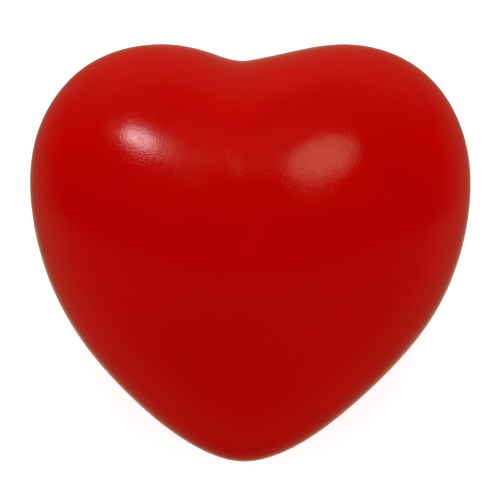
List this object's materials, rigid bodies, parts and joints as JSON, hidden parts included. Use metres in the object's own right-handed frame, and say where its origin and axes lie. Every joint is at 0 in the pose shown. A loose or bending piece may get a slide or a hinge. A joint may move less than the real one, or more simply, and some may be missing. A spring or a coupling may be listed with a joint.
{
  "type": "stress ball",
  "caption": "Heart-shaped squeezable foam ball with a dense moulded skin and a red paint coat, lying on its back.",
  "frame": {"origin": "centre of the bounding box, on the flat rest face at the back of the heart", "axes": "+Z out of the front face, +Y from the tip to the notch, +X across the two lobes, towards the right lobe seen from the front"},
  "size_m": [0.0702, 0.0664, 0.048],
  "materials": {
    "red_paint": "satin",
    "moulded_skin": "satin",
    "foam_cells": "matte"
  },
  "bodies": {
    "back": {"foam_core": "foam_cells", "back_skin": "moulded_skin", "back_paint": "red_paint"},
    "front": {"front_skin": "moulded_skin", "front_paint": "red_paint"}
  },
  "joints": [
    {"name": "squeeze", "type": "slide", "parent": "back", "child": "front", "axis": [0, 0, -1], "range_m": [0, 0.02], "stiffness_N_per_m": 2500, "deforming": ["foam_core", "back_skin", "back_paint", "front_skin", "front_paint"]}
  ]
}
